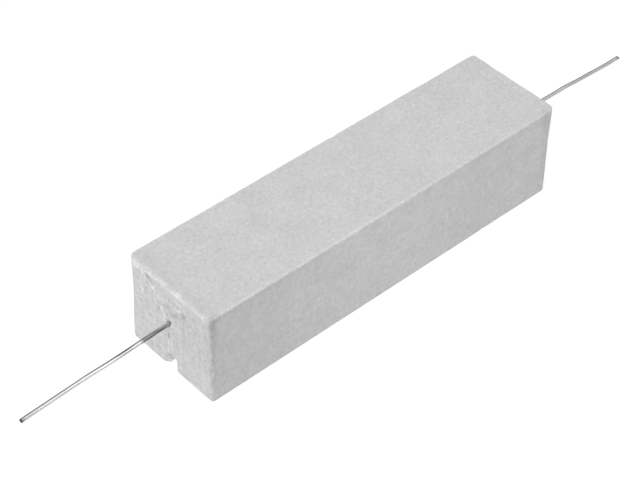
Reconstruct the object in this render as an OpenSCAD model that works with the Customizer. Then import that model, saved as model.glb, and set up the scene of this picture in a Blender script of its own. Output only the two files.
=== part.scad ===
// Power resistor. A wound element lies in a slotted ceramic case, cement fills
// the case round it, and one tinned lead leaves each end.
// Millimetres, +Z up. X runs along the case and Y across it. The origin is the
// middle of the case's open rim, and the closed face of the case is on top.

/* [Ceramic case] */
// Length of the case
case_length = 49; // [40:1:60]
// Width of the case at its closed face
case_width = 12.5; // [11:0.5:16]
// Height of the case, from the open rim to the closed face
case_height = 11.5; // [10:0.5:15]
// Draft of the two long sides, which lean outwards down to the rim, in degrees
side_draft_angle = 1; // [0:0.25:2]
// Radius of the four upright edges
upright_edge_radius = 0.6; // [0.4:0.1:1.5]
// Radius of the edges round the closed face
closed_edge_radius = 0.25; // [0.1:0.05:0.5]
// Thickness of the two long walls at the closed face
side_wall = 1.8; // [1.2:0.1:2.4]
// Thickness of the two end walls
end_wall = 2.2; // [1.6:0.1:3]
// Thickness of the closed face
roof = 1.75; // [1.2:0.05:2.2]
// Radius of the upright corners inside the case
inner_corner_radius = 0.8; // [0.3:0.1:1.5]
// Radius where the inner walls meet the closed face
inner_roof_radius = 0.6; // [0.2:0.1:1]
// Width of the slot in each end wall that a lead is laid in
slot_width = 1.5; // [1.2:0.1:2.2]
// Radius of the slot's two corners at the open rim
slot_mouth_radius = 0.35; // [0.1:0.05:0.6]

/* [Cement filling] */
// Distance from the open rim to the cement's surface
cement_recess = 1; // [0.4:0.1:1.4]
// Distance from the end face to the cement in a slot
slot_recess = 0.2; // [0.1:0.05:1]
// Cement between the wound element and the closed face
element_cover = 0.2; // [0.1:0.05:0.6]
// Radius of the cement mound round each lead
mound_radius = 1.3; // [1.15:0.05:1.8]
// Height of the mound above the end face
mound_height = 0.25; // [0.1:0.05:0.4]

/* [Wound element] */
// Diameter of the ceramic rod
rod_diameter = 4.4; // [3.6:0.2:5]
// Distance from the inside of an end wall to the end cap
end_room = 2.4; // [1.4:0.2:4]
// Diameter of the resistance wire
wire_diameter = 0.4; // [0.2:0.05:0.6]
// Turns of wire from one end cap to the other
winding_turns = 32; // [20:1:38]
// Length of an end cap along the rod
cap_length = 4.5; // [3.5:0.5:6]
// Thickness of the sheet that the end caps are pressed from
cap_wall = 0.4; // [0.3:0.05:0.6]
// Radius of the pressed edge round a cap's closed end
cap_edge_radius = 0.4; // [0.2:0.05:0.5]

/* [Leads] */
// Diameter of the tinned wire
lead_diameter = 0.5; // [0.4:0.05:0.9]
// Distance from the end face to a lead's tip
lead_reach = 18.25; // [15:0.25:35]
// Radius of the weld where a lead meets its cap
weld_radius = 0.8; // [0.6:0.05:1.2]
// Length of the weld
weld_length = 0.7; // [0.4:0.1:1.2]
// Radius of the two bends of the right lead's dip
firm_bend_radius = 6; // [3:1:8]
// Radius of the other bends
gentle_bend_radius = 15; // [12:1:20]
// Left lead: first turn down, in degrees
left_droop_angle = 2.4; // [1:0.1:6]
// Left lead: straight length between its two bends
left_straight = 8; // [4:0.5:11]
// Left lead: second turn down, in degrees
left_second_droop_angle = 1.1; // [1:0.1:4]
// Right lead: turn down into its dip and back level, in degrees
right_dip_angle = 10; // [4:1:14]
// Right lead: straight length on the slope of the dip
right_dip_straight = 3.2; // [1:0.1:4]
// Right lead: level length after the dip
right_level_straight = 2.5; // [1:0.5:4]
// Right lead: turn down after the level length, in degrees
right_droop_angle = 5.5; // [2:0.5:8]
// Right lead: straight length after that turn
right_droop_straight = 2.4; // [1:0.2:4]
// Right lead: turn up before its last straight length, in degrees
right_rise_angle = 3.9; // [1:0.1:6]

/* [Hidden] */
$fn = 64;
// Room between pieces that are slid or cast together
fit_clearance = 0.03;
// Room between the wire and what it is wound on, for the flats between its corners
winding_clearance = 0.05;
// Room between the cement mound and a lead's first bend
bend_room = 0.1;
// Extra radius of a lead where it is bent, so that its straight stretches end inside
bend_swell = 0.01;
// How far a straight stretch runs into the bend next to it
bend_overlap = 0.2;
// Overshoot of a cutting shape past the surface that it opens
cut_margin = 1;
// How far the rounding of a closed edge runs past a leaning side before it is cut
edge_overrun = 0.005;

cavity_length = case_length - 2 * end_wall;
cavity_width = case_width - 2 * side_wall;
cavity_height = case_height - roof;

rod_radius = rod_diameter / 2;
rod_end = cavity_length / 2 - end_room - cap_wall;
cap_end = rod_end + cap_wall;
cap_rim = cap_end - cap_length;
cap_radius = rod_radius + fit_clearance + cap_wall;

// The wire climbs on to each cap just before its rim and ends one turn past it.
wire_radius = wire_diameter / 2;
rod_track = rod_radius + winding_clearance + wire_radius;
cap_track = cap_radius + winding_clearance + wire_radius;
climb_length = 1;
lap_length = 1;
winding_end = cap_rim + lap_length;
climb_start = cap_rim - wire_radius - fit_clearance - climb_length;
wire_sides = 6;
steps_per_turn = 18;
winding_steps = winding_turns * steps_per_turn;

element_reach = cap_track + wire_radius;
axis_height = cavity_height - element_cover - element_reach;

lead_radius = lead_diameter / 2;
lead_bore = lead_radius + fit_clearance;
end_face = case_length / 2;
first_straight = end_face + mound_height + bend_room - cap_end;

// Each step of a lead: a straight length, then a turn in degrees with up
// positive, and the radius of that bend on the wire's centre line.
left_steps = [
  [first_straight, -left_droop_angle, gentle_bend_radius],
  [left_straight, -left_second_droop_angle, gentle_bend_radius]
];
right_steps = [
  [first_straight, -right_dip_angle, firm_bend_radius],
  [right_dip_straight, right_dip_angle, firm_bend_radius],
  [right_level_straight, -right_droop_angle, gentle_bend_radius],
  [right_droop_straight, right_rise_angle, gentle_bend_radius]
];

ceramic_grey = [0.78, 0.78, 0.77];
cement_grey = [0.72, 0.72, 0.70];
rod_white = [0.93, 0.92, 0.88];
wire_grey = [0.45, 0.43, 0.40];
cap_grey = [0.66, 0.67, 0.69];
tin_grey = [0.80, 0.81, 0.83];

module rounded_rectangle(length, width, radius) {
  square([length - 2 * radius, width], center = true);
  square([length, width - 2 * radius], center = true);
  for (x = [-1, 1], y = [-1, 1]) {
    translate([x * (length / 2 - radius), y * (width / 2 - radius)])
      circle(r = radius);
  }
}

// Rectangle that stands on the X axis, with its two upper corners rounded.
module arched_profile(length, height, radius) {
  translate([-length / 2, 0])
    square([length, height - radius]);
  translate([-length / 2 + radius, 0])
    square([length - 2 * radius, height]);
  for (x = [-1, 1]) {
    translate([x * (length / 2 - radius), height - radius])
      circle(r = radius);
  }
}

// Block that stands on z = 0, with rounded upright edges and top edges.
module moulded_block(length, width, height, upright_radius, top_radius) {
  intersection() {
    linear_extrude(height = height)
      rounded_rectangle(length, width, upright_radius);
    translate([0, width / 2, 0])
      rotate([90, 0, 0])
        linear_extrude(height = width)
          arched_profile(length, height, top_radius);
    translate([-length / 2, 0, 0])
      rotate([90, 0, 90])
        linear_extrude(height = length)
          arched_profile(width, height, top_radius);
  }
}

// Prism wide enough for the block, with one long side that leans with the draft.
module leaning_prism(side) {
  prism_width = 2 * case_width;
  prism_height = case_height + 2 * cut_margin;
  translate([0, side * case_width / 2, case_height])
    rotate([side * side_draft_angle, 0, 0])
      translate([0, -side * prism_width / 2, cut_margin - prism_height])
        linear_extrude(height = prism_height)
          rounded_rectangle(case_length, prism_width, upright_edge_radius);
}

// Section across the block: its closed edges are rounded as far as the leaning
// sides, and it is wider than them below.
module closed_edge_profile() {
  half_width = case_width / 2 + closed_edge_radius * tan(side_draft_angle) + edge_overrun;
  foot_half_width = case_width / 2 + case_height * tan(side_draft_angle) + cut_margin;
  arc_height = case_height - closed_edge_radius;
  polygon([
    [-foot_half_width, 0], [foot_half_width, 0], [half_width, arc_height],
    [half_width - closed_edge_radius, arc_height], [half_width - closed_edge_radius, case_height],
    [closed_edge_radius - half_width, case_height], [closed_edge_radius - half_width, arc_height],
    [-half_width, arc_height]
  ]);
  for (side = [-1, 1]) {
    translate([side * (half_width - closed_edge_radius), arc_height])
      circle(r = closed_edge_radius);
  }
}

// Outside of the case, wider at the rim than at the closed face.
module drafted_block() {
  intersection() {
    leaning_prism(-1);
    leaning_prism(1);
    bar_along_case(case_length + 2 * cut_margin)
      closed_edge_profile();
    translate([0, case_width, 0])
      rotate([90, 0, 0])
        linear_extrude(height = 2 * case_width)
          arched_profile(case_length, case_height, closed_edge_radius);
  }
}

// Slot shape seen from the end: open at the foot and round at the top.
module slot_profile(foot) {
  translate([-slot_width / 2, foot])
    square([slot_width, axis_height - foot]);
  translate([0, axis_height])
    circle(d = slot_width);
}

// Widening of the slot at the rim, between its two rounded corners.
module slot_mouth_profile() {
  mouth_width = slot_width + 2 * slot_mouth_radius;
  difference() {
    translate([-mouth_width / 2, -cut_margin])
      square([mouth_width, slot_mouth_radius + cut_margin]);
    for (side = [-1, 1]) {
      translate([side * mouth_width / 2, slot_mouth_radius])
        circle(r = slot_mouth_radius);
    }
  }
}

// A profile seen from the end, drawn out into a bar along the case.
module bar_along_case(bar_length) {
  translate([-bar_length / 2, 0, 0])
    rotate([90, 0, 90])
      linear_extrude(height = bar_length)
        children();
}

// Trough moulded in one piece, open at the foot, with a slot in each end wall.
module ceramic_case() {
  color(ceramic_grey)
    difference() {
      drafted_block();
      translate([0, 0, -cut_margin])
        moulded_block(cavity_length, cavity_width, cavity_height + cut_margin,
          inner_corner_radius, inner_roof_radius);
      bar_along_case(case_length + 2 * cut_margin) {
        slot_profile(-cut_margin);
        slot_mouth_profile();
      }
    }
}

// Turned space that the element and the straight part of its leads take up.
module element_space() {
  wound_radius = rod_track + wire_radius + fit_clearance;
  lapped_radius = cap_track + wire_radius + fit_clearance;
  capped_radius = cap_radius + fit_clearance;
  lap_start = climb_start - wire_radius;
  lap_end = winding_end + wire_radius + fit_clearance;
  bore_end = end_face + mound_height + cut_margin;
  half_profile = [
    [0, 0],
    [wound_radius, 0],
    [wound_radius, lap_start],
    [lapped_radius, lap_start],
    [lapped_radius, lap_end],
    [capped_radius, lap_end],
    [capped_radius, cap_end],
    [weld_radius + fit_clearance, cap_end],
    [lead_bore, cap_end + weld_length],
    [lead_bore, bore_end],
    [0, bore_end]
  ];
  translate([0, 0, axis_height])
    for (side = [-1, 1]) {
      rotate([0, side * 90, 0])
        rotate_extrude()
          polygon(half_profile);
    }
}

// Cement that rises out of a slot and stands round the lead, on the +X end.
module mound() {
  ball_radius = (mound_radius * mound_radius + mound_height * mound_height) / (2 * mound_height);
  translate([end_face, 0, axis_height])
    rotate([0, 90, 0]) {
      translate([0, 0, -slot_recess])
        cylinder(d = slot_width, h = slot_recess);
      intersection() {
        translate([0, 0, mound_height - ball_radius])
          sphere(r = ball_radius);
        cylinder(r = mound_radius + cut_margin, h = mound_height);
      }
    }
}

// Cement cast round the element, up to a little short of the rim.
module cement_fill() {
  color(cement_grey)
    difference() {
      union() {
        translate([0, 0, cement_recess])
          moulded_block(cavity_length, cavity_width, cavity_height - cement_recess,
            inner_corner_radius, inner_roof_radius);
        bar_along_case(case_length - 2 * slot_recess)
          slot_profile(cement_recess);
        mound();
        mirror([1, 0, 0])
          mound();
      }
      element_space();
    }
}

// Plain rod that the resistance wire is wound on.
module core_rod() {
  color(rod_white)
    translate([0, 0, axis_height])
      rotate([0, 90, 0])
        cylinder(d = rod_diameter, h = 2 * rod_end, center = true);
}

// Distance of the wire's centre line from the axis at a place along the rod.
function climb(x) = min(1, max(0, (abs(x) - climb_start) / climb_length));
function track(x) = rod_track + (cap_track - rod_track) * climb(x);
function winding_x(step) = winding_end * (2 * step / winding_steps - 1);
function wire_corner(step, corner) =
  let (
    turn = 360 * step / steps_per_turn,
    around = 360 * corner / wire_sides,
    out = track(winding_x(step)) + wire_radius * cos(around)
  )
  [winding_x(step) + wire_radius * sin(around), out * cos(turn), out * sin(turn)];

// One wire, wound from cap to cap as a closed tube of flat-sided section.
module resistance_winding() {
  corners = [
    for (step = [0:winding_steps], corner = [0:wire_sides - 1]) wire_corner(step, corner)
  ];
  sides = [
    for (step = [0:winding_steps - 1], corner = [0:wire_sides - 1])
      let (a = step * wire_sides + corner, b = step * wire_sides + (corner + 1) % wire_sides)
      [a, b, b + wire_sides, a + wire_sides]
  ];
  first_end = [for (corner = [wire_sides - 1:-1:0]) corner];
  last_end = [for (corner = [0:wire_sides - 1]) winding_steps * wire_sides + corner];
  color(wire_grey)
    translate([0, 0, axis_height])
      polyhedron(points = corners, faces = concat(sides, [first_end, last_end]));
}

// Half of a cap's section: distance from the axis, then place along the rod.
module cap_half_section() {
  inside_radius = rod_radius + fit_clearance;
  difference() {
    union() {
      translate([0, cap_rim])
        square([cap_radius, cap_length - cap_edge_radius]);
      translate([0, cap_rim])
        square([cap_radius - cap_edge_radius, cap_length]);
      translate([cap_radius - cap_edge_radius, cap_end - cap_edge_radius])
        circle(r = cap_edge_radius);
    }
    translate([-cut_margin, cap_rim - cut_margin])
      square([inside_radius + cut_margin, cap_length - cap_wall + cut_margin]);
  }
}

// Pressed cup over the +X end of the rod.
module end_cap() {
  color(cap_grey)
    translate([0, 0, axis_height])
      rotate([0, 90, 0])
        rotate_extrude()
          cap_half_section();
}

module left_end_cap() {
  mirror([1, 0, 0])
    end_cap();
}

module right_end_cap() {
  end_cap();
}

// Straight wire along X, from one place to another.
module straight_wire(from, to) {
  translate([from, 0, 0])
    rotate([0, 90, 0])
      cylinder(r = lead_radius, h = to - from);
}

// Wire bent in the XZ plane, then whatever follows it.
module bent_wire(turn, radius) {
  centre = sign(turn) * radius;
  translate([0, 0, centre]) {
    rotate([90, 0, 0])
      rotate_extrude(angle = abs(turn), start = turn > 0 ? -90 : 90 - abs(turn))
        translate([radius, 0])
          circle(r = lead_radius + bend_swell);
    rotate([0, -turn, 0])
      translate([0, 0, -centre])
        children();
  }
}

// Distance along X that the steps of a lead cover, each a straight stretch and a bend.
function run(steps, index, slope) =
  index == len(steps) ? 0 :
  let (new_slope = slope + steps[index][1])
  steps[index][0] * cos(slope)
    + steps[index][2] * abs(sin(new_slope) - sin(slope))
    + run(steps, index + 1, new_slope);

// Slope of the wire after its last bend.
function last_slope(steps, index) =
  index == len(steps) ? 0 : steps[index][1] + last_slope(steps, index + 1);

// The steps of a lead from one index on, then the straight stretch to its tip.
module lead_steps(steps, index, last_length) {
  back = index == 0 ? 0 : bend_overlap;
  if (index == len(steps)) {
    straight_wire(-back, last_length);
  } else {
    straight_wire(-back, steps[index][0] + bend_overlap);
    translate([steps[index][0], 0, 0])
      bent_wire(steps[index][1], steps[index][2])
        lead_steps(steps, index + 1, last_length);
  }
}

// Lead on the +X end, from its weld on the cap to its tip.
module lead(steps) {
  reach = end_face + lead_reach - cap_end;
  last_length = (reach - run(steps, 0, 0)) / cos(last_slope(steps, 0));
  color(tin_grey)
    translate([cap_end, 0, axis_height]) {
      rotate([0, 90, 0])
        cylinder(r1 = weld_radius, r2 = lead_radius, h = weld_length);
      lead_steps(steps, 0, last_length);
    }
}

// Left lead: two slight turns down.
module left_lead() {
  mirror([1, 0, 0])
    lead(left_steps);
}

// Right lead: a dip close to the case, then a slight turn down and up.
module right_lead() {
  lead(right_steps);
}

ceramic_case();
cement_fill();
core_rod();
resistance_winding();
left_end_cap();
right_end_cap();
left_lead();
right_lead();
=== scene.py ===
from math import atan2, ceil, copysign, cos, degrees, exp, hypot, pi, radians, sin, tan

import bmesh
import bpy
from mathutils import Matrix, Vector, noise


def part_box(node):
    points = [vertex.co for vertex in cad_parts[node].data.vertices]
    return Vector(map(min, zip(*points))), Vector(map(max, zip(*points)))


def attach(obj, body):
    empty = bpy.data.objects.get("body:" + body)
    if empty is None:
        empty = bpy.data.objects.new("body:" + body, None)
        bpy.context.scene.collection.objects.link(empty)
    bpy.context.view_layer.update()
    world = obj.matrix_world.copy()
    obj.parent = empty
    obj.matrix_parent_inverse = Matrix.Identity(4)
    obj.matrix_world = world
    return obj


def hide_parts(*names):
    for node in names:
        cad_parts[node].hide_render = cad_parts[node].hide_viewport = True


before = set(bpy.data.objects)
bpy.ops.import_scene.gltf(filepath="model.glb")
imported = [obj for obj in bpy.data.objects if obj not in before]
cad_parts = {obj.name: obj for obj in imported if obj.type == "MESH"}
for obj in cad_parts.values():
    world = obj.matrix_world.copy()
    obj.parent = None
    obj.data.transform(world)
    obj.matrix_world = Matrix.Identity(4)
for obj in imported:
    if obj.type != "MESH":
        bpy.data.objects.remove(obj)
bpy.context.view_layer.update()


# Ceramic rod. A plain stick of steatite, pushed through a die, fired and cut to
# length. It carries the winding and both caps, and stays as the frame has it.
MM = 0.001


def new_material(name):
    """An empty surface for one of the pieces: its nodes, its links and its shader."""
    material = bpy.data.materials.new(name)
    material.use_nodes = True
    nodes, links = material.node_tree.nodes, material.node_tree.links
    return material, nodes, links, nodes["Principled BSDF"]


def grain(nodes, links, size, stretch=(1, 1, 1), detail=3.0, roughness=0.6):
    """Cloudy pattern fixed in the piece, with lumps of the given size in millimetres."""
    place = nodes.new("ShaderNodeTexCoord")
    scale = nodes.new("ShaderNodeMapping")
    scale.vector_type = "POINT"
    scale.inputs["Scale"].default_value = [1 / (MM * size * s) for s in stretch]
    cloud = nodes.new("ShaderNodeTexNoise")
    cloud.inputs["Scale"].default_value = 1.0
    cloud.inputs["Detail"].default_value = detail
    cloud.inputs["Roughness"].default_value = roughness
    links.new(place.outputs["Object"], scale.inputs["Vector"])
    links.new(scale.outputs["Vector"], cloud.inputs["Vector"])
    return cloud.outputs["Fac"]


def spread(nodes, links, pattern, stops):
    """Turns a grey pattern into colours: stops are pairs of a level and a colour or grey."""
    ramp = nodes.new("ShaderNodeValToRGB")
    while len(ramp.color_ramp.elements) < len(stops):
        ramp.color_ramp.elements.new(0.5)
    for element, (level, shade) in zip(ramp.color_ramp.elements, stops):
        element.position = level
        element.color = (*shade, 1) if isinstance(shade, tuple) else (shade, shade, shade, 1)
    links.new(pattern, ramp.inputs["Fac"])
    return ramp.outputs["Color"]


def tint(nodes, links, under, over, share=1.0):
    """Colour of one layer darkened or lightened by another."""
    mix = nodes.new("ShaderNodeMix")
    mix.data_type, mix.blend_type = "RGBA", "MULTIPLY"
    mix.inputs["Factor"].default_value = share
    links.new(under, mix.inputs[6])
    links.new(over, mix.inputs[7])
    return mix.outputs[2]


def relief(nodes, links, shader, patterns):
    """Fine surface relief: patterns are pairs of a grey pattern and its height in millimetres."""
    last = None
    for pattern, height in patterns:
        bump = nodes.new("ShaderNodeBump")
        bump.inputs["Strength"].default_value = 1.0
        bump.inputs["Distance"].default_value = height * MM
        links.new(pattern, bump.inputs["Height"])
        if last:
            links.new(last, bump.inputs["Normal"])
        last = bump.outputs["Normal"]
    links.new(last, shader.inputs["Normal"])


def repaint(piece, material):
    """Gives a piece one material and no other."""
    piece.data.materials.clear()
    piece.data.materials.append(material)


steatite, nodes, links, shader = new_material("fired_steatite")
cloud = grain(nodes, links, 1.4)
speck = grain(nodes, links, 0.16, detail=2.0)
body_tone = spread(nodes, links, cloud, [(0.3, (0.74, 0.72, 0.66)), (0.7, (0.82, 0.80, 0.75))])
speck_tone = spread(nodes, links, speck, [(0.28, 0.86), (0.42, 1.0)])
links.new(tint(nodes, links, body_tone, speck_tone), shader.inputs["Base Color"])
links.new(spread(nodes, links, cloud, [(0.3, 0.5), (0.7, 0.66)]), shader.inputs["Roughness"])
relief(nodes, links, shader, [(speck, 0.012), (cloud, 0.03)])
repaint(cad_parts["core_rod"], steatite)


# Winding. One length of nickel-chrome wire, wound tight round the rod and over
# both cap skirts. It has a brown-grey skin from its first heating.
oxidised, nodes, links, shader = new_material("oxidised_wire")
stain = grain(nodes, links, 0.9)
scratch = grain(nodes, links, 0.12, stretch=(3, 1, 1))
browns = [(0.3, (0.17, 0.15, 0.13)), (0.55, (0.26, 0.24, 0.22)), (0.75, (0.33, 0.29, 0.24))]
links.new(spread(nodes, links, stain, browns), shader.inputs["Base Color"])
shader.inputs["Metallic"].default_value = 0.85
links.new(spread(nodes, links, scratch, [(0.3, 0.34), (0.7, 0.55)]), shader.inputs["Roughness"])
relief(nodes, links, shader, [(scratch, 0.006)])
repaint(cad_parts["resistance_winding"], oxidised)


# End caps. Cups pressed from tinned steel sheet and pushed on to the rod's
# ends. The press leaves fine rings round the skirt, and the tin a faint spangle.
pressed, nodes, links, shader = new_material("pressed_tinplate")
rings = grain(nodes, links, 0.2, stretch=(1, 12, 12), detail=2.0)
spangle = grain(nodes, links, 0.8, detail=1.0)
greys = [(0.35, (0.52, 0.53, 0.54)), (0.65, (0.66, 0.67, 0.68))]
links.new(spread(nodes, links, spangle, greys), shader.inputs["Base Color"])
shader.inputs["Metallic"].default_value = 1.0
links.new(spread(nodes, links, spangle, [(0.3, 0.28), (0.7, 0.42)]), shader.inputs["Roughness"])
relief(nodes, links, shader, [(rings, 0.008)])
for cap in ("left_end_cap", "right_end_cap"):
    repaint(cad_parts[cap], pressed)


# Leads. Tinned copper wire, butt-welded to the caps and cut off with side
# cutters. Each was bent a little by hand. Dark reflections are painted along the tin,
# and shade on the left one by the case and on the cut tips.
LEAD_RADIUS = 0.25
# The wire measures this much under the nominal radius of its lead.
DRAWN_THINNER = 0.018
WIRE_SIDES = 32
WELD_RADIUS = 0.8
WELD_LENGTH = 0.7
FIRM_BEND = 6
GENTLE_BEND = 15
STRAIGHT_TO_FIRST_BEND = 4.95
LEFT_STEPS = [(STRAIGHT_TO_FIRST_BEND, -2.4, GENTLE_BEND), (8, -1.1, GENTLE_BEND)]
RIGHT_STEPS = [
    (STRAIGHT_TO_FIRST_BEND, -10, FIRM_BEND),
    (3.2, 10, FIRM_BEND),
    (2.5, -5.5, GENTLE_BEND),
    (2.4, 3.9, GENTLE_BEND),
]
# Kinks left by hand: how far along the wire, how far up or down, and the reach.
LEFT_KINKS = [(10.3, -0.07, 2.5), (12.7, -0.045, 1.4), (16.5, 0.035, 2.5)]
RIGHT_KINKS = [(12.0, -0.06, 1.4), (17.3, 0.085, 1.5), (18.5, -0.07, 2.8), (21.5, -0.07, 1.8)]
# Finish: how bright the tin is, how strong its painted dark reflection lines are, and the length of painted
# shade by the case.
LEFT_TIN_AND_PAINTED_LIGHT = (0.28, 0.95, 3.5)
RIGHT_TIN_AND_PAINTED_LIGHT = (0.17, 0.66, 0.0)
cap_low, cap_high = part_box("right_end_cap")
AXIS_HEIGHT = (cap_low.z + cap_high.z) / 2 / MM
CAP_END = cap_high.x / MM


def lead_line(steps, tip):
    """Centre line of a lead in millimetres, as (along, up) from its cap to its tip."""
    along, up, slope = CAP_END, AXIS_HEIGHT, 0.0
    line = [(along, up)]

    def straight(length):
        nonlocal along, up
        pieces = max(1, ceil(length / 0.3))
        for _ in range(pieces):
            along += length / pieces * cos(slope)
            up += length / pieces * sin(slope)
            line.append((along, up))

    for length, turn, radius in steps:
        straight(length)
        pieces = max(2, ceil(abs(turn) / 1.2))
        for _ in range(pieces):
            chord = 2 * radius * sin(radians(abs(turn)) / pieces / 2)
            slope += radians(turn) / pieces / 2
            along += chord * cos(slope)
            up += chord * sin(slope)
            slope += radians(turn) / pieces / 2
            line.append((along, up))
    straight((tip - along) / cos(slope))
    return line


def ease(t):
    """Smooth step from 0 to 1."""
    t = min(1.0, max(0.0, t))
    return t * t * (3 - 2 * t)


def bell(distance, width):
    """Smooth bump, 1 at no distance and almost 0 from twice the width on."""
    return exp(-((distance / width) ** 2))


def tarnish_and_painted_light(turn, out, left, wave, polish, streaks, painted_shade_length):
    """How dark the tin is, from 0 to 1: its own dullness, with dark lines along the wire that are painted
    reflections, and painted shade by the case and on the cut.
    """
    if left < 0.2:
        return 0.95
    # a darker stretch of the tin just past the length of painted shade
    worn = bell(out - painted_shade_length - 2, 1.1)
    dull = 0.32 - polish + 0.1 * noise.noise((out * 0.5, wave, turn / 60)) + 0.2 * worn
    # painted reflections: the dark lines run along its top and its front
    dull += streaks * (bell(turn - 84 - 12 * worn, 17) + 0.65 * bell(turn - 177, 11))
    # painted shade: on the length by the case it is grey all round, and right by the case a painted
    # highlight makes it paler on top
    shaded = 0.63 + 0.14 * bell(turn - 180, 40) + 0.25 * noise.noise((out * 1.2, turn / 30, wave))
    shaded -= 0.34 * bell(turn - 75, 35) * ease((1.5 - out) / 0.8) + 0.1 * ease((0.35 - out) / 0.3)
    shaded += 0.1 * bell(out - 2.6, 0.6)
    dull += (shaded - dull) * ease((painted_shade_length - out) / 0.5)
    return min(1.0, max(0.0, dull))


def lofted(name, rings):
    """Closed skin over rings of points in millimetres, with a face across each end."""
    around = len(rings[0])
    last = (len(rings) - 1) * around
    faces = [tuple(range(around))[::-1], tuple(range(last, last + around))]
    for start in range(0, last, around):
        for k in range(around):
            a, b = start + k, start + (k + 1) % around
            faces.append((a, b, b + around, a + around))
    mesh = bpy.data.meshes.new(name)
    mesh.from_pydata([Vector(point) * MM for ring in rings for point in ring], [], faces)
    return mesh


def drawn_wire(name, node, side, steps, kinks, wave, finish):
    """Round wire along a lead's line, with its weld at the cap and a cut tip."""
    low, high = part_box(node)
    tip = max(abs(low.x), abs(high.x)) / MM
    line = lead_line(steps, tip)
    turns = [2 * pi * k / WIRE_SIDES for k in range(WIRE_SIDES)]
    rings, dullness = [], []
    travelled = 0.0
    for i, (along, up) in enumerate(line):
        before, after = line[max(0, i - 1)], line[min(len(line) - 1, i + 1)]
        slope = atan2(after[1] - before[1], after[0] - before[0])
        if i:
            travelled += hypot(along - line[i - 1][0], up - line[i - 1][1])
        left = tip - along
        weld = max(0.0, 1 - travelled / WELD_LENGTH)
        radius = LEAD_RADIUS - DRAWN_THINNER + (WELD_RADIUS - LEAD_RADIUS) * weld**2
        radius += 0.003 * noise.noise((travelled * 0.8, wave, 0))
        # hand-straightened wire keeps a slight wave, none where it leaves the cement
        out = travelled - STRAIGHT_TO_FIRST_BEND
        free = min(1.0, max(0.0, out) / 3) * min(1.0, left / 1.5)
        aside = 0.04 * free * noise.noise((travelled * 0.22, wave, 3.1))
        lift = 0.02 * free * noise.noise((travelled * 0.3, wave, 7.7))
        for place, height, width in kinks:
            lift += height * free * bell(travelled - place, width)
        ring = []
        for turn in turns:
            across, rise = aside + cos(turn) * radius, sin(turn) * radius
            ring.append((along - rise * sin(slope), across, up + lift + rise * cos(slope)))
        if i == len(line) - 1 or ring[0][0] < tip - 0.3:
            rings.append(ring)
            dullness.append([tarnish_and_painted_light(degrees(turn), out, left, wave, *finish) for turn in turns])
    # the cutters pinch the tip from above and below and leave a skewed face, whose cut is painted dark as
    # shade
    whole, middle = rings.pop(), line[-1][1]
    dullness.pop()
    for back, pinch, dull in ((0.12, 0.97, 0.6), (0.05, 0.86, 0.8), (0.0, 0.66, 1.0)):
        ring = []
        for _, y, z in whole:
            skew = 0.05 * (1 + (z - middle) / LEAD_RADIUS)
            ring.append((tip - back - skew, y * (1 + (1 - pinch) * 0.12), middle + (z - middle) * pinch))
        rings.append(ring)
        dullness.append([dull] * WIRE_SIDES)
    # the left lead is built the other way along, so that its skin faces out too
    rings = [[(side * x, y, z) for x, y, z in ring] for ring in rings][::side]
    mesh = lofted(name, rings)
    values = [dull for ring in dullness[::side] for dull in ring]
    mesh.attributes.new("tarnish_and_painted_light", "FLOAT", "POINT").data.foreach_set("value", values)
    return mesh


def loose_piece(name, mesh):
    """Puts a mesh in the scene."""
    piece = bpy.data.objects.new(name, mesh)
    bpy.context.scene.collection.objects.link(piece)
    return piece


def smoothed(piece, sharp_angle):
    """Smooth faces, with crisp edges above the given angle in degrees."""
    piece.data.shade_smooth()
    piece.data.set_sharp_from_angle(angle=radians(sharp_angle))


def stored(nodes, name):
    """Reads how strong a finish is from the values that the mesh holds."""
    reader = nodes.new("ShaderNodeAttribute")
    reader.attribute_name = name
    return reader.outputs["Fac"]


tin, nodes, links, shader = new_material("tinned_copper")
drawn = grain(nodes, links, 0.06, stretch=(40, 1, 1), detail=2.0)
dross = grain(nodes, links, 0.7, stretch=(2.5, 1, 1), detail=2.0)
dull = stored(nodes, "tarnish_and_painted_light")
# the stored value darkens the tin: its own dullness, and painted reflections and shade in the darkest
# colours
bright, greyed = (0.90, 0.90, 0.905), (0.60, 0.60, 0.61)
dark, black_painted_reflection_and_shade = (0.25, 0.25, 0.255), (0.07, 0.07, 0.073)
skin = spread(nodes, links, dull, [(0.0, bright), (0.35, greyed), (0.75, dark), (1.0, black_painted_reflection_and_shade)])
skin = tint(nodes, links, skin, spread(nodes, links, dross, [(0.3, 0.92), (0.62, 1.0)]))
links.new(skin, shader.inputs["Base Color"])
shader.inputs["Metallic"].default_value = 1.0
links.new(spread(nodes, links, dull, [(0.0, 0.22), (1.0, 0.34)]), shader.inputs["Roughness"])
relief(nodes, links, shader, [(drawn, 0.003), (dross, 0.012)])

for lead, side, steps, kinks, wave, finish in (
    ("left_lead", -1, LEFT_STEPS, LEFT_KINKS, 1.7, LEFT_TIN_AND_PAINTED_LIGHT),
    ("right_lead", 1, RIGHT_STEPS, RIGHT_KINKS, 9.2, RIGHT_TIN_AND_PAINTED_LIGHT),
):
    name = lead + "_wire"
    wire = loose_piece(name, drawn_wire(name, lead, side, steps, kinks, wave, finish))
    smoothed(wire, sharp_angle=40)
    repaint(wire, tin)
    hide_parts(lead)
    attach(wire, "root")


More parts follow.
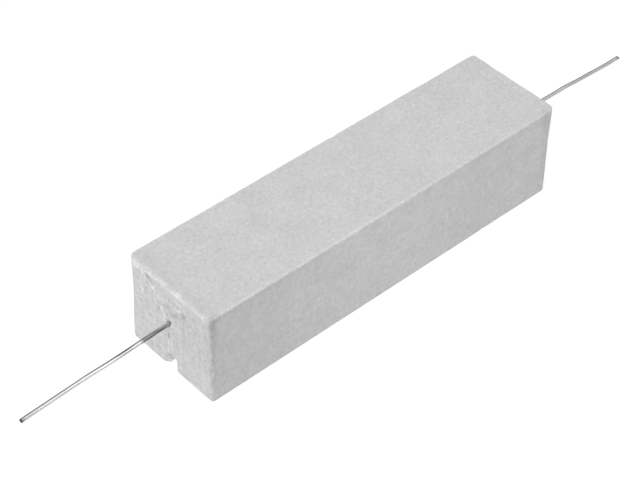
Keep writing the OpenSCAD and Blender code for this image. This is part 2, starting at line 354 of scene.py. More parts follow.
# Ceramic case. A trough pressed from ceramic powder and fired, with a slot down
# each end wall for a lead. Firing leaves it matt, and handling nibbles its edges.
case_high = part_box("ceramic_case")[1]
HALF_LENGTH = case_high.x / MM
CASE_HEIGHT = case_high.z / MM
DRAFT = tan(radians(1))
HALF_WIDTH = case_high.y / MM - DRAFT * CASE_HEIGHT
LONG_EDGE_RADIUS = 0.14
NEAR_EDGE_RADIUS = 0.42
FAR_EDGE_RADIUS = 0.25
RIM_RADIUS = 0.1
SIDE_WALL = 1.8
END_WALL = 2.2
ROOF = 1.75
INNER_CORNER = 0.8
INNER_ROOF = 0.6
SLOT_WIDTH = 1.5
SLOT_HALF_LEFT = 0.69
SLOT_MOUTH_LEFT = 0.04
SLOT_MOUTH_RIGHT = 0.35
FOOT_CHIP = 0.3
SLIVER = 0.0003
CRISP_ANGLE = 50
MARK_AND_PAINTED_LIGHT_GAIN = 0.36
# Dents: place on the case, radius and depth. The first few are the near end's.
DENTS = [
    ((-HALF_LENGTH, 2.0, 9.75), 0.95, 0.14),
    ((-HALF_LENGTH, 4.3, 10.35), 0.85, 0.12),
    ((-HALF_LENGTH, -1.7, 9.0), 0.8, 0.14),
    ((-HALF_LENGTH, 6.25, 10.5), 0.42, 0.3),
    ((-HALF_LENGTH, 1.3, 5.2), 0.5, 0.05),
    ((-HALF_LENGTH, -3.2, 8.2), 0.4, 0.06),
    ((HALF_LENGTH - 1.4, -HALF_WIDTH, CASE_HEIGHT - 0.3), 0.45, 0.12),
    ((-15.0, -HALF_WIDTH, CASE_HEIGHT), 0.4, 0.07),
    ((3.0, HALF_WIDTH, CASE_HEIGHT), 0.5, 0.08),
    ((HALF_LENGTH, 3.3, CASE_HEIGHT), 0.6, 0.05),
    ((HALF_LENGTH, -2.6, 10.1), 0.7, 0.10),
    ((-6.0, HALF_WIDTH, 0.0), 0.6, 0.1),
    ((14.0, -HALF_WIDTH, 0.0), 0.4, 0.06),
]


def lines_across(low, high, fine, coarse, margin):
    """Grid lines from low to high, close together within a margin of both ends."""
    edge = max(1, round(margin / fine))
    middle = max(1, round((high - low - 2 * margin) / coarse))
    near = [low + margin * i / edge for i in range(edge)]
    far = [high - margin * i / edge for i in range(edge)]
    between = [low + margin + (high - low - 2 * margin) * i / middle for i in range(middle + 1)]
    return near + between + far[::-1]


def gridded_block(name, xs, ys, zs, place):
    """Closed skin of a block on the given grid lines, each point moved to where place() says."""
    number, points, faces = {}, [], []

    def side(a_lines, b_lines, at, flip):
        for a0, a1 in zip(a_lines, a_lines[1:]):
            for b0, b1 in zip(b_lines, b_lines[1:]):
                face = []
                for spot in (at(a0, b0), at(a1, b0), at(a1, b1), at(a0, b1)):
                    if spot not in number:
                        number[spot] = len(points)
                        points.append(place(*spot) * MM)
                    face.append(number[spot])
                faces.append(face[::-1] if flip else face)

    side(xs, ys, lambda a, b: (a, b, zs[0]), True)
    side(xs, ys, lambda a, b: (a, b, zs[-1]), False)
    side(xs, zs, lambda a, b: (a, ys[0], b), False)
    side(xs, zs, lambda a, b: (a, ys[-1], b), True)
    side(ys, zs, lambda a, b: (xs[0], a, b), True)
    side(ys, zs, lambda a, b: (xs[-1], a, b), False)
    mesh = bpy.data.meshes.new(name)
    mesh.from_pydata(points, [], faces)
    return mesh


def rounded(x, y, z, half_length, half_width, low, high, upright, top_radius, foot_radius):
    """Where a point of a plain block lies once its edges are rounded, and which way it faces."""
    u, v = abs(x) - half_length + upright, abs(y) - half_width + upright
    if u > 0 and v > 0:
        reach, out = max(u, v), hypot(u, v)
        outward = Vector((copysign(u / out, x), copysign(v / out, y), 0))
        spot = Vector((copysign(half_length - upright, x), copysign(half_width - upright, y), z))
        spot += outward * reach
        depth = upright - reach
    elif u > v:
        outward, depth = Vector((copysign(1, x), 0, 0)), half_length - abs(x)
        spot = Vector((x, y, z))
    else:
        outward, depth = Vector((0, copysign(1, y), 0)), half_width - abs(y)
        spot = Vector((x, y, z))
    for radius_at, distance, sign in ((top_radius, high - z, 1), (foot_radius, z - low, -1)):
        radius = radius_at(outward)
        if depth < radius and distance < radius:
            turn = pi / 4 * (1 + depth / radius - distance / radius)
            spot += outward * (depth - radius * (1 - cos(turn)))
            spot.z = (high if sign > 0 else low) - sign * radius * (1 - sin(turn))
            return spot, outward * cos(turn) + Vector((0, 0, sign * sin(turn)))
    if depth < 1e-6:
        return spot, outward
    return spot, Vector((0, 0, 1 if z - low > high - z else -1))


def upright_radius(x, y, z):
    """The upright edges came out of the die with a radius each, and the near one sharpens to its foot."""
    up = z / CASE_HEIGHT
    if x < 0:
        return 0.42 + 0.08 * ease(up * 1.6) if y < 0 else 0.62 + 0.22 * bell(up - 0.55, 0.28)
    return 0.9 + 0.3 * ease((1 - up) / 0.45) if y < 0 else 0.6


def band_edge(y, end):
    """Height on an end face where the raised band under the top edge stops."""
    height = 10.5 - 0.75 * (1 - (y / HALF_WIDTH) ** 2)
    return height + 0.22 * noise.noise((y * 0.55, end * 5, 0)) + 0.12 * noise.noise((y * 2.1, end * 5, 4))


def wear(spot, facing):
    """How far the fired skin lies under the ideal one, in millimetres."""
    sunk = 0.02 + 0.022 * noise.noise(spot * 0.16)
    sunk += 0.010 * noise.noise(spot * 0.9) + 0.005 * noise.noise(spot * 3.1)
    upright = 1 - abs(facing.z)
    if upright > 0.3:
        streak = Vector((spot.x * 2.2, spot.y * 2.2, spot.z * 0.3))
        sunk += 0.01 * noise.noise(streak)
    if abs(facing.x) > 0.5 and abs(spot.x) > HALF_LENGTH - 1.2:
        end = copysign(1, spot.x)
        below = ease((band_edge(spot.y, end) - spot.z) / 0.22)
        sunk += 0.07 * below * ease((abs(facing.x) - 0.5) * 2.5)
    corner = 1 - max(abs(facing.x), abs(facing.y), abs(facing.z))
    if corner > 0.02:
        long_edge = 0.4 if abs(facing.y) > abs(facing.x) else 1.0
        sunk += 0.5 * long_edge * corner * max(0.0, noise.noise(spot * 0.8) + 0.1)
        sunk += 0.22 * long_edge * corner * max(0.0, noise.noise(spot * 2.7) + 0.1)
    for place, radius, depth in DENTS:
        far = (spot - Vector(place)).length
        ragged = radius * (1 + 0.35 * noise.noise(spot * 1.9))
        if far < ragged:
            sunk += depth * (1 - (far / ragged) ** 2) ** 1.5
    return max(0.004, sunk)


def case_skin(x, y, z):
    """Outside of the case, drafted, with worn and rounded edges."""

    def top_edge(way):
        end_radius = FAR_EDGE_RADIUS if way.x > 0 else NEAR_EDGE_RADIUS
        return LONG_EDGE_RADIUS + (end_radius - LONG_EDGE_RADIUS) * way.x**2

    spot, facing = rounded(
        x, y, z, HALF_LENGTH, HALF_WIDTH, 0.0, CASE_HEIGHT, upright_radius(x, y, z),
        top_edge, lambda way: RIM_RADIUS,
    )
    worn = spot - facing.normalized() * wear(spot, facing)
    if worn.x < 0.5 - HALF_LENGTH:
        # a chip is missing from the foot of the near end, beside the slot
        worn.x += FOOT_CHIP * ease((0.62 - abs(worn.y - 0.62)) / 0.5) * ease((0.9 - worn.z) / 0.9)
    # the long sides lean out towards the rim, so that the pressing leaves its die
    worn.y *= 1 + DRAFT * (CASE_HEIGHT - worn.z) / HALF_WIDTH
    return worn


def cut(piece, cutter, how="DIFFERENCE"):
    """Takes one closed mesh from another, or joins them, for good."""
    modifier = piece.modifiers.new("cut", "BOOLEAN")
    modifier.operation = how
    modifier.solver = "MANIFOLD"
    modifier.object = cutter
    evaluated = piece.evaluated_get(bpy.context.evaluated_depsgraph_get())
    mesh = bpy.data.meshes.new_from_object(evaluated)
    piece.modifiers.clear()
    piece.data = mesh
    bpy.data.objects.remove(cutter)


def dressed(piece):
    """Takes out the slivers that the cuts leave, and smooths all but the crisp edges."""
    shape = bmesh.new()
    shape.from_mesh(piece.data)
    bmesh.ops.triangulate(shape, faces=shape.faces)
    bmesh.ops.remove_doubles(shape, verts=shape.verts, dist=SLIVER * MM)
    bmesh.ops.dissolve_degenerate(shape, edges=shape.edges, dist=SLIVER * MM)
    bmesh.ops.triangulate(shape, faces=shape.faces)
    folded = {}
    for face in shape.faces:
        folded.setdefault(frozenset(corner.index for corner in face.verts), []).append(face)
    flaps = [face for faces in folded.values() if len(faces) > 1 for face in faces]
    bmesh.ops.delete(shape, geom=flaps, context="FACES")
    shape.to_mesh(piece.data)
    shape.free()
    smoothed(piece, CRISP_ANGLE)


def slot_outline(grow):
    """Slot seen from the end, open past the rim, round at the top, wider by grow all round."""
    half, mouth = SLOT_WIDTH / 2 + grow, max(0.03, SLOT_MOUTH_LEFT - grow)
    outline = [(half + mouth, -1.0), (half + mouth, 0.0)]
    for step in range(1, 7):
        a = pi / 2 * step / 6
        outline.append((half + mouth - mouth * sin(a), mouth * (1 - cos(a))))
    for step in range(0, 25):
        a = pi * step / 24
        outline.append((half * cos(a), AXIS_HEIGHT + half * sin(a)))
    mouth = SLOT_MOUTH_RIGHT - grow
    for step in range(5, -1, -1):
        a = pi / 2 * step / 6
        outline.append((-half - mouth + mouth * sin(a), mouth * (1 - cos(a))))
    outline += [(-half - mouth, -1.0)]
    # the wall on the left, as the near end is seen, stands a little further in
    return [(y - (SLOT_WIDTH / 2 - SLOT_HALF_LEFT) * ease(y / half), z) for y, z in outline]


def slot_flare(out):
    """How much wider the slot is near an end face, where its edges are worn round."""
    return 0.15 * ease((out + 0.28) / 0.3)


def slot_cutter(name):
    """Bar through both end walls, flared where it leaves each end face, so those edges are rounded."""
    sections = [(HALF_LENGTH + out, slot_flare(out)) for out in (1.0, 0.04, -0.04, -0.1, -0.16, -0.22, -0.3)]
    sections = [(-x, grow) for x, grow in sections] + sections[::-1]
    return lofted(
        name,
        [[(x, y + 0.02 * noise.noise((x, y, z)), z) for y, z in slot_outline(grow)] for x, grow in sections],
    )


case = loose_piece(
    "pressed_case",
    gridded_block(
        "pressed_case",
        lines_across(-HALF_LENGTH, HALF_LENGTH, 0.1, 0.4, 1.2),
        lines_across(-HALF_WIDTH, HALF_WIDTH, 0.08, 0.14, 0.96),
        lines_across(0, CASE_HEIGHT, 0.08, 0.14, 0.56),
        case_skin,
    ),
)


def trough_skin(x, y, z):
    """Inside of the case, with an edge that opens out a little at the rim."""
    spot, facing = rounded(
        x, y, z, HALF_LENGTH - END_WALL, HALF_WIDTH - SIDE_WALL, -1.0, CASE_HEIGHT - ROOF, INNER_CORNER,
        lambda way: INNER_ROOF, lambda way: 0.001,
    )
    opening = 0.18 * ease(1 - spot.z / 0.2) if abs(facing.z) < 0.5 else 0.0
    return spot + facing * opening


trough = loose_piece(
    "trough",
    gridded_block(
        "trough",
        lines_across(-HALF_LENGTH + END_WALL, HALF_LENGTH - END_WALL, 0.2, 1.0, 0.8),
        lines_across(-HALF_WIDTH + SIDE_WALL, HALF_WIDTH - SIDE_WALL, 0.2, 1.0, 0.8),
        [-1.0, -0.5, 0.0, 0.05, 0.1, 0.15, 0.2] + lines_across(0.5, CASE_HEIGHT - ROOF, 0.15, 1.0, 0.6),
        trough_skin,
    ),
)
cut(case, trough)
cut(case, loose_piece("slot_bar", slot_cutter("slot_bar")))
dressed(case)

# Marks on the near end: from a place to a place on its face, as (across, up), the
# half width, and how pale (above 0) or dark (below 0) it is there. Pale ones are
# scuffs and painted highlights on chipped edges, dark ones painted shade in chips and hollows.
NEAR_MARKS = [
    ((6.2, 10.9), (5.3, 10.6), 0.3, 0.7),
    ((5.0, 10.9), (4.2, 10.5), 0.25, 0.6),
    ((5.6, 10.3), (5.0, 10.0), 0.2, 0.5),
    ((5.9, 10.6), (5.7, 10.2), 0.12, -0.8),
    ((4.7, 10.5), (4.5, 10.1), 0.12, -0.4),
    ((4.3, 10.2), (3.8, 9.8), 0.18, 0.5),
    ((3.0, 9.9), (2.6, 9.4), 0.14, 0.7),
    ((2.6, 9.35), (1.8, 9.1), 0.14, 0.75),
    ((2.3, 9.85), (1.5, 9.5), 0.12, 0.8),
    ((2.35, 9.6), (2.0, 9.4), 0.1, -0.8),
    ((3.5, 10.75), (2.7, 10.35), 0.2, -0.6),
    ((1.38, 7.75), (0.55, 6.5), 0.14, 0.6),
    ((1.75, 7.5), (1.7, 7.3), 0.12, -0.8),
    ((0.3, 8.5), (-0.5, 7.8), 0.3, -0.55),
    ((-0.9, 8.1), (-2.3, 9.15), 0.3, -0.5),
    ((-1.2, 9.0), (-2.3, 9.6), 0.22, 0.6),
    ((-2.3, 9.95), (-3.7, 10.25), 0.1, 0.35),
    ((-3.7, 10.25), (-6.0, 10.4), 0.1, 0.3),
]


def near_line(spot, start, stop):
    """Distance on an end face from a place to a short line."""
    run, rise = stop[0] - start[0], stop[1] - start[1]
    share = ((spot.y - start[0]) * run + (spot.z - start[1]) * rise) / (run**2 + rise**2)
    share = min(1.0, max(0.0, share))
    return hypot(spot.y - start[0] - share * run, spot.z - start[1] - share * rise)


def marks_and_painted_light(spot, marks):
    """Pale and dark marks on the near end face, with ragged sides: scuffs, with painted highlights and
    painted shade.
    """
    ragged = 1 + 0.7 * noise.noise(spot * 2.6)
    return sum(
        strength * ragged * bell(near_line(spot, start, stop), width * ragged)
        for start, stop, width, strength in marks
    )


def case_scuff_and_painted_light(spot):
    """Tone of the case: painted highlights along its top edges, painted shade along its upright edges,
    painted light on the near slot's walls, scuffs and random tone on the near end, and its front darker
    towards both ends and just under its top edge.
    """
    top, end = CASE_HEIGHT - spot.z, HALF_LENGTH - abs(spot.x)
    side = HALF_WIDTH + DRAFT * top - abs(spot.y)
    # painted highlight along the top edges, weaker towards the far end
    pale = 0.42 - 0.2 * ease((spot.x - 2) / 10)
    tone = pale * bell(top - side - 0.05, 0.22) * ease((0.6 - top - side) / 0.2)
    if spot.x < 0:
        # painted highlight along the near end's top edge, broken up along it
        ridge_highlight = 0.56 + 0.35 * noise.noise((spot.y * 0.8, 3, 1))
        ridge_highlight += 0.5 * noise.noise((spot.y * 2.6, spot.z * 3, 2)) + 0.4 * ease((spot.y - 4.6) / 1.2)
        at_edge = ease((1.3 - end - top) / 0.4)
        tone += 0.72 * min(0.8, max(0.0, ridge_highlight)) * bell(end - top + 0.36, 0.24) * at_edge
        if top < 0.2:
            tone -= 0.12 * ease((end - top - 0.05) / 0.2) * ease((1.9 - end) / 1.0)
    else:
        # painted highlight along the far end's top edge
        tone += 0.25 * bell(top - 0.05, 0.2) * bell(end - 0.05, 0.2)
    if end < 0.35 and spot.x < 0:
        tone += marks_and_painted_light(spot, NEAR_MARKS)
        tone += 0.2 * noise.noise((spot.y * 1.7, spot.z * 0.35, 6))
        tone += 0.2 * noise.noise((spot.y * 4.5, spot.z * 0.9, 8)) + 0.2 * noise.noise(spot * 1.8)
        tone += (0.42 - 0.14 * ease((-0.5 - spot.y) / 1.5)) * noise.noise(spot * 4.6)
        tone += (0.1 * ease((6 - spot.z) / 2) - 0.15) * ease((-1.0 - spot.y) / 1.5)
    if abs(spot.y) < SLOT_WIDTH / 2 + 0.02 and spot.z < 2 and spot.x < 0:
        # painted light: the near slot's walls are lightened low down, where they lie in shade
        tone += 0.9
    if side < 0.3:
        front = ease((top - side) / 0.1 + 0.5)
        tone -= front * (0.25 * ease((-2 - spot.x) / 24) + 0.11 * ease((spot.x - 3) / 10))
        tone -= front * (1 - bell(spot.x + 1, 8)) * 0.12 * bell(top - 0.5, 0.32)
        tone += front * (0.08 * noise.noise(spot * 1.4) + 0.2 * noise.noise(spot * 3.3))
    if spot.x < 0 and spot.y < 0 and min(end, side) < 0.4:
        # painted shade along the near upright edge, most of all at its top
        up = spot.z / CASE_HEIGHT
        over = end - side - 0.34 + 0.22 * up
        width = 0.12 + 0.68 * up if over > 0 else 0.22 + 0.05 * up
        tone -= (0.02 + 0.7 * up) * bell(over, width) * ease((0.4 - min(end, side)) / 0.2)
    if spot.x > 0 and spot.y < 0:
        # and painted shade along the far one, a little, most of all under its top corner
        tone -= (0.12 + 0.24 * bell(top - 1.0, 2.0)) * bell(end - 1.35, 0.6) * ease((0.9 - side) / 0.5)
    return tone


def store(piece, name, amount):
    """Keeps how strong a finish is at each point of a piece, for its material to read."""
    values = [amount(vertex.co / MM) for vertex in piece.data.vertices]
    piece.data.attributes.new(name, "FLOAT", "POINT").data.foreach_set("value", values)


def worked_out(nodes, links, operation, *terms):
    """One sum in a material, on patterns and plain numbers."""
    sum_node = nodes.new("ShaderNodeMath")
    sum_node.operation = operation
    for socket, term in zip(sum_node.inputs, terms):
        if isinstance(term, (int, float)):
            socket.default_value = term
        else:
            links.new(term, socket)
    return sum_node.outputs["Value"]


def marked_with_painted_light(nodes, links, tone, speck):
    """Colour lightened or darkened by the stored scuffs and painted light and shade, broken up by the grain.
    """
    broken = spread(nodes, links, speck, [(0.3, 0.55), (0.7, 1.45)])
    scuff_and_painted_light = worked_out(nodes, links, "MULTIPLY", stored(nodes, "scuff_and_painted_light"), broken)
    return tint(nodes, links, tone, worked_out(nodes, links, "MULTIPLY_ADD", scuff_and_painted_light, MARK_AND_PAINTED_LIGHT_GAIN, 1.0))


ceramic, nodes, links, shader = new_material("fired_ceramic")
cloud = grain(nodes, links, 3.0)
mottle = grain(nodes, links, 0.5, detail=4.0, roughness=0.7)
speck = grain(nodes, links, 0.17, detail=2.0)
drag = grain(nodes, links, 0.25, stretch=(1, 1, 9), detail=2.0)
tone = spread(nodes, links, cloud, [(0.3, (0.508, 0.508, 0.506)), (0.7, (0.546, 0.546, 0.545))])
tone = tint(nodes, links, tone, spread(nodes, links, mottle, [(0.3, 0.90), (0.7, 1.07)]))
specks = [(0.25, 0.71), (0.40, 0.975), (0.62, 1.01), (0.76, 1.20)]
tone = tint(nodes, links, tone, spread(nodes, links, speck, specks))
tone = tint(nodes, links, tone, spread(nodes, links, drag, [(0.3, 0.975), (0.7, 1.02)]))
links.new(marked_with_painted_light(nodes, links, tone, speck), shader.inputs["Base Color"])
links.new(spread(nodes, links, mottle, [(0.3, 0.74), (0.7, 0.88)]), shader.inputs["Roughness"])
shader.inputs["Specular IOR Level"].default_value = 0.35
relief(nodes, links, shader, [(speck, 0.02), (mottle, 0.035), (drag, 0.005)])
store(case, "scuff_and_painted_light", case_scuff_and_painted_light)
repaint(case, ceramic)
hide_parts("ceramic_case")
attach(case, "root")


# Cement. A silicate paste with quartz sand, poured round the element and baked
# hard. It is wiped almost level in the slots and lumps up round the leads.
CEMENT_RECESS = 1.0
SLOT_RECESS = 0.2
FOOT_RISE = 0.62
MOUND_RADIUS = 1.3
MOUND_HEIGHT = 0.24
MOUND_SKIRT = 0.17
MOUND_ROOT = 0.45
CASTING_GAP = 0.012
FILL_HALF_LENGTH = HALF_LENGTH - END_WALL - CASTING_GAP
FILL_HALF_WIDTH = HALF_WIDTH - SIDE_WALL - CASTING_GAP
FILL_TOP = CASE_HEIGHT - ROOF - CASTING_GAP


def fill_skin(x, y, z):
    """Cement in the trough. Its free surface is rough and climbs a little at the walls."""
    spot, facing = rounded(
        x, y, z, FILL_HALF_LENGTH, FILL_HALF_WIDTH, CEMENT_RECESS, FILL_TOP, INNER_CORNER,
        lambda way: INNER_ROOF, lambda way: 0.02,
    )
    if spot.z < CEMENT_RECESS + 0.1:
        wall = min(HALF_LENGTH - END_WALL - abs(spot.x), HALF_WIDTH - SIDE_WALL - abs(spot.y))
        spot.z += 0.12 - 0.12 * ease(1 - wall / 0.8)
        rough = 0.05 * noise.noise(spot * 0.5) + 0.04 * noise.noise(spot * 1.7)
        spot.z += rough + 0.02 * noise.noise(spot * 4)
    return spot


# The near lead leaves from a shallow pit, from a place to a place as (across, up),
# with lips of cement raised beside it.
EXIT_PIT = ((0.0, 7.15), (-0.9, 7.0))
PIT_REACH = 0.4
PIT_LIPS = [((1.38, 7.75), (0.55, 6.5)), ((-0.15, 6.1), (-0.45, 6.35))]
PLUG_ENDS = 2.1


def plug_skin(x, y, z):
    """Cement in the slots, from end to end. Its faces are wiped, and its foot rises towards them."""
    half = SLOT_WIDTH / 2 - CASTING_GAP
    across, rise = y / half, (z - AXIS_HEIGHT) / half
    if rise > 0:
        reach, out = max(abs(across), rise), max(1e-9, hypot(across, rise))
        across, rise = across * reach / out, rise * reach / out
        z = AXIS_HEIGHT + rise * half
    full = HALF_LENGTH - SLOT_RECESS
    flare = 0.0
    if abs(x) > full - PLUG_ENDS:
        end = copysign(1, x)
        # the finger that wiped it drew it out in upright streaks, level with the left wall
        recess = 0.17 - 0.09 * ease((across - 0.25) / 0.5) - 0.04 * ease((-across - 0.6) / 0.4)
        recess += 0.05 * noise.noise((across * 3.4, z * 0.35, end * 3))
        recess += 0.03 * noise.noise((across * 9, z * 0.8, end))
        recess += 0.03 * noise.noise((across * 3, z * 3, end * 5))
        if end < 0:
            recess += 0.1 * bell(near_line(Vector((x, y, z)), *EXIT_PIT), PIT_REACH)
        share = (abs(x) - (full - PLUG_ENDS)) / PLUG_ENDS
        x = end * (full - PLUG_ENDS + share * (HALF_LENGTH - recess - full + PLUG_ENDS))
        flare = slot_flare(abs(x) - HALF_LENGTH)
    walls = half + flare
    y = across * (walls - (SLOT_WIDTH / 2 - SLOT_HALF_LEFT) * ease(across))
    if rise > 0:
        z += rise * flare
    # its foot rises towards the end faces, and the fill's free surface hides it in the trough
    lifted = max(ease((abs(x) - HALF_LENGTH + 1.5) / 1.3), ease((HALF_LENGTH - END_WALL - abs(x)) / 0.1))
    z += FOOT_RISE * lifted * max(0.0, (3 - z) / 2)
    if z < CEMENT_RECESS + 0.01:
        z += 0.05 + 0.06 * noise.noise((x * 1.5, y * 1.5, 2))
    return Vector((x, y, z))


# Marks on the cement of the near end, in the same terms as the case's. Dark ones are
# mostly painted shadow in its pit, gaps and hollows, pale ones mostly painted highlights on its lips and
# edges.
CEMENT_MARKS = [
    ((1.38, 7.75), (0.55, 6.5), 0.13, 0.6),
    ((0.34, 6.5), (0.22, 6.75), 0.1, -0.7),
    ((0.5, 7.6), (0.2, 7.3), 0.15, -0.7),
    ((-0.35, 7.2), (-0.8, 7.0), 0.2, -0.9),
    ((-0.1, 7.9), (-0.5, 7.6), 0.16, -0.8),
    ((-0.7, 7.6), (-1.1, 7.5), 0.15, -0.7),
    ((-0.88, 7.9), (-0.8, 6.9), 0.13, -0.6),
    ((0.55, 5.35), (0.0, 4.95), 0.08, 0.9),
    ((0.36, 4.7), (0.36, 4.1), 0.08, -0.9),
    ((0.38, 3.7), (0.46, 1.9), 0.08, 0.5),
    ((-0.1, 4.4), (-0.05, 2.4), 0.07, 0.5),
    ((-0.45, 4.9), (-0.4, 2.2), 0.07, -0.35),
    ((0.5, 1.75), (-0.38, 1.45), 0.12, -0.7),
]


def mound_lump(y, z, end):
    """Share of its full height that a mound has at a place, before it thins out at its edge."""
    lump = 0.66 + 0.42 * noise.noise((y * 1.3, z * 1.3, end * 2))
    lump += 0.3 * noise.noise((y * 3.7, z * 3.7, end * 2))
    if end > 0:
        return lump
    place = Vector((0, y, AXIS_HEIGHT + z))
    lip = min(near_line(place, *line) for line in PIT_LIPS)
    return lump + 0.5 * bell(lip, 0.16) - 0.9 * bell(near_line(place, *EXIT_PIT), PIT_REACH)


def mound_mesh(name, end):
    """Lumpy cement round a lead, feathered out on the end face where it was wiped."""
    rings, around = 26, 80
    points, faces = [], []
    for layer in (0, 1):
        for r in range(1, rings + 1):
            for k in range(around):
                a = 2 * pi * k / around
                share = r / rings
                y, z = share * MOUND_RADIUS * cos(a), share * MOUND_RADIUS * sin(a)
                if layer:
                    x = -MOUND_ROOT
                else:
                    x = (MOUND_HEIGHT + MOUND_SKIRT) * (1 - share**2) ** 0.7 * mound_lump(y, z, end)
                    x = min(MOUND_HEIGHT, max(x - MOUND_SKIRT, 0.05 - MOUND_ROOT))
                points.append((x, y, z))
    front, back = len(points), len(points) + 1
    points += [(points[0][0], 0, 0), (-MOUND_ROOT, 0, 0)]
    for layer, hub in ((0, front), (1, back)):
        base = layer * rings * around
        for k in range(around):
            after = (k + 1) % around
            ring = [(hub, base + k, base + after)]
            for r in range(rings - 1):
                a = base + r * around
                ring.append((a + k, a + around + k, a + around + after, a + after))
            faces += [f[::-1] if layer else f for f in ring]
    outer, inner = (rings - 1) * around, (2 * rings - 1) * around
    for k in range(around):
        after = (k + 1) % around
        faces.append((outer + k, inner + k, inner + after, outer + after))
    if end < 0:
        faces = [f[::-1] for f in faces]
    placed = [Vector((end * (HALF_LENGTH + x), y, AXIS_HEIGHT + z)) * MM for x, y, z in points]
    mesh = bpy.data.meshes.new(name)
    mesh.from_pydata(placed, [], faces)
    return mesh


def turned_space(name):
    """Room that the wound element and the straight part of its leads take up in the cement."""
    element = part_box("resistance_winding")
    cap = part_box("right_end_cap")
    gap = 0.02
    lap_rise, lap_length = 0.43, 1.45
    lapped = (element[1].z - element[0].z) / 2 / MM + gap
    wound = lapped - lap_rise
    capped = (cap[1].z - cap[0].z) / 2 / MM + gap
    lap_end, climb = element[1].x / MM + gap, cap[0].x / MM - lap_length
    half = [
        (wound, 0), (wound, climb), (lapped, climb), (lapped, lap_end), (capped, lap_end), (capped, CAP_END),
        (WELD_RADIUS + gap, CAP_END), (0.5, CAP_END + 0.35), (LEAD_RADIUS + gap, CAP_END + WELD_LENGTH),
        (LEAD_RADIUS + gap, HALF_LENGTH + 1.0),
    ]
    around = 48
    turns = [2 * pi * k / around for k in range(around)]
    profile = [(radius, -x) for radius, x in half[::-1]] + half[1:]
    return lofted(
        name,
        [[(x, radius * cos(a), AXIS_HEIGHT + radius * sin(a)) for a in turns] for radius, x in profile],
    )


cement = loose_piece(
    "cast_cement",
    gridded_block(
        "cast_cement",
        lines_across(-FILL_HALF_LENGTH, FILL_HALF_LENGTH, 0.2, 0.4, 0.8),
        lines_across(-FILL_HALF_WIDTH, FILL_HALF_WIDTH, 0.2, 0.4, 0.8),
        lines_across(CEMENT_RECESS, FILL_TOP, 0.2, 1.2, 0.8),
        fill_skin,
    ),
)
plug = loose_piece(
    "plug",
    gridded_block(
        "plug",
        lines_across(-HALF_LENGTH + SLOT_RECESS, HALF_LENGTH - SLOT_RECESS, 0.1, 5.0, PLUG_ENDS),
        lines_across(-SLOT_WIDTH / 2 + CASTING_GAP, SLOT_WIDTH / 2 - CASTING_GAP, 0.05, 0.05, 0.3),
        lines_across(CEMENT_RECESS, AXIS_HEIGHT + SLOT_WIDTH / 2 - CASTING_GAP, 0.08, 0.12, 1.2),
        plug_skin,
    ),
)
cut(cement, plug, "UNION")
for end in (-1, 1):
    cut(cement, loose_piece("mound", mound_mesh("mound", end)), "UNION")
cut(cement, loose_piece("turned_space", turned_space("turned_space")))
dressed(cement)

paste, nodes, links, shader = new_material("baked_cement")
cloud = grain(nodes, links, 1.2)
sand = grain(nodes, links, 0.22, detail=3.0, roughness=0.7)
tone = spread(nodes, links, cloud, [(0.3, (0.515, 0.515, 0.513)), (0.7, (0.566, 0.566, 0.564))])
grains = [(0.28, 0.76), (0.42, 0.98), (0.62, 1.0), (0.75, 1.12)]
tone = tint(nodes, links, tone, spread(nodes, links, sand, grains))
links.new(marked_with_painted_light(nodes, links, tone, sand), shader.inputs["Base Color"])
links.new(spread(nodes, links, sand, [(0.3, 0.8), (0.7, 0.95)]), shader.inputs["Roughness"])
shader.inputs["Specular IOR Level"].default_value = 0.3
relief(nodes, links, shader, [(sand, 0.035), (cloud, 0.05)])
store(cement, "scuff_and_painted_light", lambda spot: marks_and_painted_light(spot, CEMENT_MARKS) if spot.x < 1 - HALF_LENGTH else 0.0)
repaint(cement, paste)
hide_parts("cement_fill")
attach(cement, "root")


# Studio. The part stands on a pale sheet, in the even light of a white tent and
# two soft boxes. The camera looks down on its near end as in the photograph.
floor_mesh = bpy.data.meshes.new("pale_sheet")
reach = 1.5
corners = [(-reach, -reach, 0), (reach, -reach, 0), (reach, reach, 0), (-reach, reach, 0)]
floor_mesh.from_pydata(corners, [], [(0, 1, 2, 3)])
floor = loose_piece("pale_sheet", floor_mesh)
sheet, nodes, links, shader = new_material("pale_sheet")
weave = grain(nodes, links, 6.0)
links.new(spread(nodes, links, weave, [(0.3, 0.09), (0.7, 0.11)]), shader.inputs["Base Color"])
shader.inputs["Roughness"].default_value = 0.9
shader.inputs["Specular IOR Level"].default_value = 0.0
shader.inputs["Emission Color"].default_value = (1, 1, 1, 1)
shader.inputs["Emission Strength"].default_value = 0.92
repaint(floor, sheet)

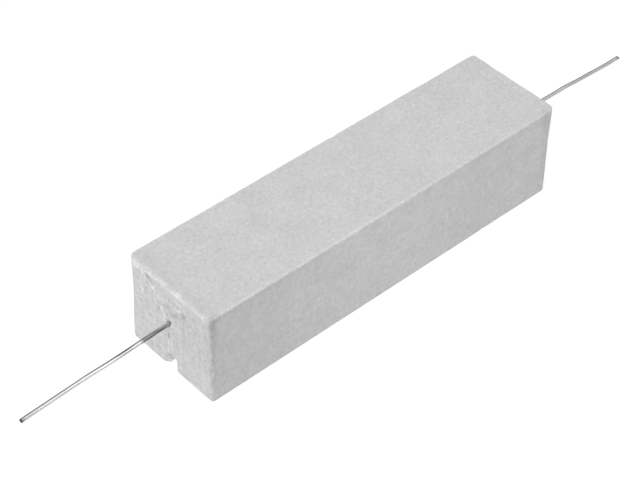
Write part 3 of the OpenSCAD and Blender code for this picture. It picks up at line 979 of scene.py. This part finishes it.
# white tent round the part: bright overhead and to the left, dim elsewhere
tent = bpy.data.worlds.new("white_tent")
tent.use_nodes = True
nodes, links = tent.node_tree.nodes, tent.node_tree.links
nodes["Background"].inputs["Color"].default_value = (1, 1, 1, 1)
outlook = nodes.new("ShaderNodeTexCoord")
share = nodes.new("ShaderNodeSeparateXYZ")
links.new(outlook.outputs["Generated"], share.inputs["Vector"])
overhead = worked_out(nodes, links, "MAXIMUM", share.outputs["Z"], 0.0)
leftward = worked_out(nodes, links, "MINIMUM", share.outputs["X"], 0.0)
left_light = worked_out(nodes, links, "MULTIPLY_ADD", leftward, -0.67, 0.02)
total = worked_out(nodes, links, "MULTIPLY_ADD", overhead, 1.10, left_light)
# looked at past the floor, the tent itself is plain white
looked_at = nodes.new("ShaderNodeLightPath")
strength = worked_out(nodes, links, "MAXIMUM", total, looked_at.outputs["Is Camera Ray"])
links.new(strength, nodes["Background"].inputs["Strength"])
bpy.context.scene.world = tent


def soft_box(name, middle, target, width, height, watts):
    """Rectangular light with a diffuser, aimed at a point. Its light is softer the larger it is."""
    lamp = bpy.data.lights.new(name, "AREA")
    lamp.shape, lamp.size, lamp.size_y, lamp.energy = "RECTANGLE", width, height, watts
    box = bpy.data.objects.new(name, lamp)
    box.location = middle
    box.rotation_mode = "QUATERNION"
    box.rotation_quaternion = (Vector(target) - Vector(middle)).to_track_quat("-Z", "Y")
    box.visible_camera = False
    bpy.context.scene.collection.objects.link(box)


soft_box("left_box", (-0.39, -0.16, 0.42), (0, 0, 0.006), 0.36, 0.36, 1.26)
soft_box("front_box", (0.075, -0.168, 0.140), (-0.02, 0, 0.006), 0.08, 0.10, 0.052)

camera_data = bpy.data.cameras.new("camera")
camera_data.sensor_width = 36
camera_data.lens = 115.0
camera_data.shift_x = -0.04660
camera_data.shift_y = -0.03407
camera_data.clip_start, camera_data.clip_end = 0.01, 10
camera = bpy.data.objects.new("camera", camera_data)
turn, tilt, roll, distance = -0.7726, 0.74832, 0.03633, 216.297
back = Vector((sin(turn) * cos(tilt), -cos(turn) * cos(tilt), sin(tilt)))
level = Vector((cos(turn), sin(turn), 0))
rise = back.cross(level)
across = level * cos(roll) + rise * sin(roll)
above = rise * cos(roll) - level * sin(roll)
camera.matrix_world = Matrix((across, above, back)).transposed().to_4x4()
camera.location = (Vector((0, 0, 5.75)) + back * distance) * MM
bpy.context.scene.collection.objects.link(camera)
bpy.context.scene.camera = camera
bpy.context.scene.view_settings.view_transform = "Standard"
